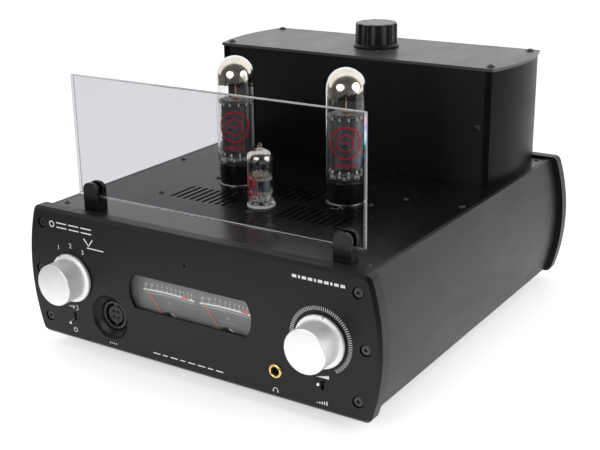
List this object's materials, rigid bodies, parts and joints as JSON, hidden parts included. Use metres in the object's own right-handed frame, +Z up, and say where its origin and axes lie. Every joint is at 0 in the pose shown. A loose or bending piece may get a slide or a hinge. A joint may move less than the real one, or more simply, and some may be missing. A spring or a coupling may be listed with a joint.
{
  "type": "headphone amplifier",
  "caption": "Desktop tube headphone amplifier with bowed sides, tube deck behind a clear shield, rear transformer cover, turned knobs, toggles and two needle meters.",
  "frame": {"origin": "on the resting plane, under the middle of the outer box", "axes": "+X to the right seen from the front, +Y to the back, +Z up; the control panel faces -Y"},
  "size_m": [0.332, 0.39, 0.2396],
  "materials": {
    "plate_black": "fine satin black powder coat on thick aluminium plate",
    "side_black": "satin black painted extrusion",
    "deck_black": "satin black sheet",
    "cover_black": "satin black sheet",
    "lid_grey": "satin black sheet that reads grey under a top light",
    "foot_rubber": "matte rubber",
    "screw_steel": "zinc plated steel",
    "screw_black": "blackened steel",
    "knob_silver": "satin turned aluminium with a polished flange",
    "knob_black": "fluted black phenolic plastic",
    "shaft_metal": "turned metal",
    "switch_body": "laminate and moulded switch body",
    "lever_white": "plated toggle lever",
    "black_plastic": "moulded black nylon",
    "gold": "gold plate",
    "clear_window": "clear acrylic window",
    "meter_plastic": "moulded grey meter case",
    "dial_grey": "satin grey dial with white scale print",
    "needle_red": "red lacquer",
    "shield_glass": "clear smoke-tinted sheet with polished edges",
    "clip_black": "black anodised or moulded clip",
    "tube_glass": "clear tube glass with a silvered getter dome",
    "tube_base": "glossy moulded phenolic",
    "tube_metal": "carbonised grey nickel plates",
    "socket_ring": "bright plated retaining ring on a ceramic socket",
    "ceramic": "cream ceramic",
    "core_iron": "varnished steel laminations",
    "board_green": "glass-epoxy circuit board",
    "cap_sleeve": "shrink sleeve",
    "connector_metal": "nickel plated connector shell"
  },
  "bodies": {
    "chassis": {"front_plate": "plate_black", "rear_plate": "plate_black", "left_side_panel": "side_black", "right_side_panel": "side_black", "bottom_plate": "side_black", "top_deck": "deck_black", "rubber_feet": "foot_rubber", "front_plate_screws": "screw_steel", "rear_plate_screws": "screw_steel", "deck_screws": "screw_black", "bottom_screws": "screw_steel", "cover_front_panel": "cover_black", "cover_left_side": "cover_black", "cover_right_side": "cover_black", "cover_back_panel": "cover_black", "cover_lid": "lid_grey", "lid_screws": "screw_black", "cover_screws": "screw_steel", "impedance_switch": "switch_body", "input_switch": "switch_body", "volume_pot": "switch_body", "power_switch": "black_plastic", "gain_switch": "black_plastic", "xlr_socket": "black_plastic", "headphone_jack": "black_plastic", "jack_nut": "gold", "meter_window": "clear_window", "meter_cases": "meter_plastic", "meter_dials": "dial_grey", "remote_sensor": "black_plastic", "shield_clips": "clip_black", "clip_screws": "screw_black", "octal_sockets": "socket_ring", "driver_socket": "ceramic", "power_transformer": "core_iron", "output_transformers": "core_iron", "main_board": "board_green", "filter_capacitors": "cap_sleeve", "mains_inlet": "black_plastic", "rca_jacks": "gold", "balanced_inputs": "connector_metal"},
    "volume_knob": {"volume_knob": "knob_silver", "volume_shaft": "shaft_metal"},
    "input_knob": {"input_knob": "knob_silver", "input_shaft": "shaft_metal"},
    "impedance_knob": {"impedance_knob": "knob_black", "impedance_shaft": "shaft_metal"},
    "power_lever": {"power_lever": "lever_white"},
    "gain_lever": {"gain_lever": "lever_white"},
    "left_needle": {"left_needle": "needle_red"},
    "right_needle": {"right_needle": "needle_red"},
    "left_power_tube": {"left_tube_glass": "tube_glass", "left_tube_base": "tube_base", "left_tube_plates": "tube_metal"},
    "right_power_tube": {"right_tube_glass": "tube_glass", "right_tube_base": "tube_base", "right_tube_plates": "tube_metal"},
    "driver_tube": {"driver_tube_glass": "tube_glass", "driver_tube_plates": "tube_metal"},
    "front_shield": {"glass_shield": "shield_glass"}
  },
  "joints": [
    {"name": "volume_turn", "type": "hinge", "parent": "chassis", "child": "volume_knob", "pos_m": [0.118, -0.173, 0.0646], "axis": [0, 1, 0], "range_deg": [-161.3, 138.7]},
    {"name": "input_turn", "type": "hinge", "parent": "chassis", "child": "input_knob", "pos_m": [-0.118, -0.173, 0.0646], "axis": [0, 1, 0], "range_deg": [0, 60]},
    {"name": "impedance_turn", "type": "hinge", "parent": "chassis", "child": "impedance_knob", "pos_m": [0, 0.116, 0.2176], "axis": [0, 0, -1], "range_deg": [-60, 60]},
    {"name": "power_toggle", "type": "hinge", "parent": "chassis", "child": "power_lever", "pos_m": [-0.1188, -0.167, 0.03], "axis": [1, 0, 0], "range_deg": [-32, 0]},
    {"name": "gain_toggle", "type": "hinge", "parent": "chassis", "child": "gain_lever", "pos_m": [0.1188, -0.167, 0.03], "axis": [1, 0, 0], "range_deg": [0, 32]},
    {"name": "left_needle_swing", "type": "hinge", "parent": "chassis", "child": "left_needle", "pos_m": [-0.028, -0.16, 0.0388], "axis": [0, 1, 0], "range_deg": [0, 74.6], "stiffness_Nm_per_rad": 0.0002, "springref_deg": -5.73},
    {"name": "right_needle_swing", "type": "hinge", "parent": "chassis", "child": "right_needle", "pos_m": [0.028, -0.16, 0.0388], "axis": [0, 1, 0], "range_deg": [0, 74.6], "stiffness_Nm_per_rad": 0.0002, "springref_deg": -5.73},
    {"name": "left_tube_lift", "type": "slide", "parent": "chassis", "child": "left_power_tube", "axis": [0, 0, 1], "range_m": [0, 0.04]},
    {"name": "right_tube_lift", "type": "slide", "parent": "chassis", "child": "right_power_tube", "axis": [0, 0, 1], "range_m": [0, 0.04]},
    {"name": "driver_tube_lift", "type": "slide", "parent": "chassis", "child": "driver_tube", "axis": [0, 0, 1], "range_m": [0, 0.03]},
    {"name": "shield_lift", "type": "slide", "parent": "chassis", "child": "front_shield", "axis": [0, 0, 1], "range_m": [0, 0.04]}
  ]
}
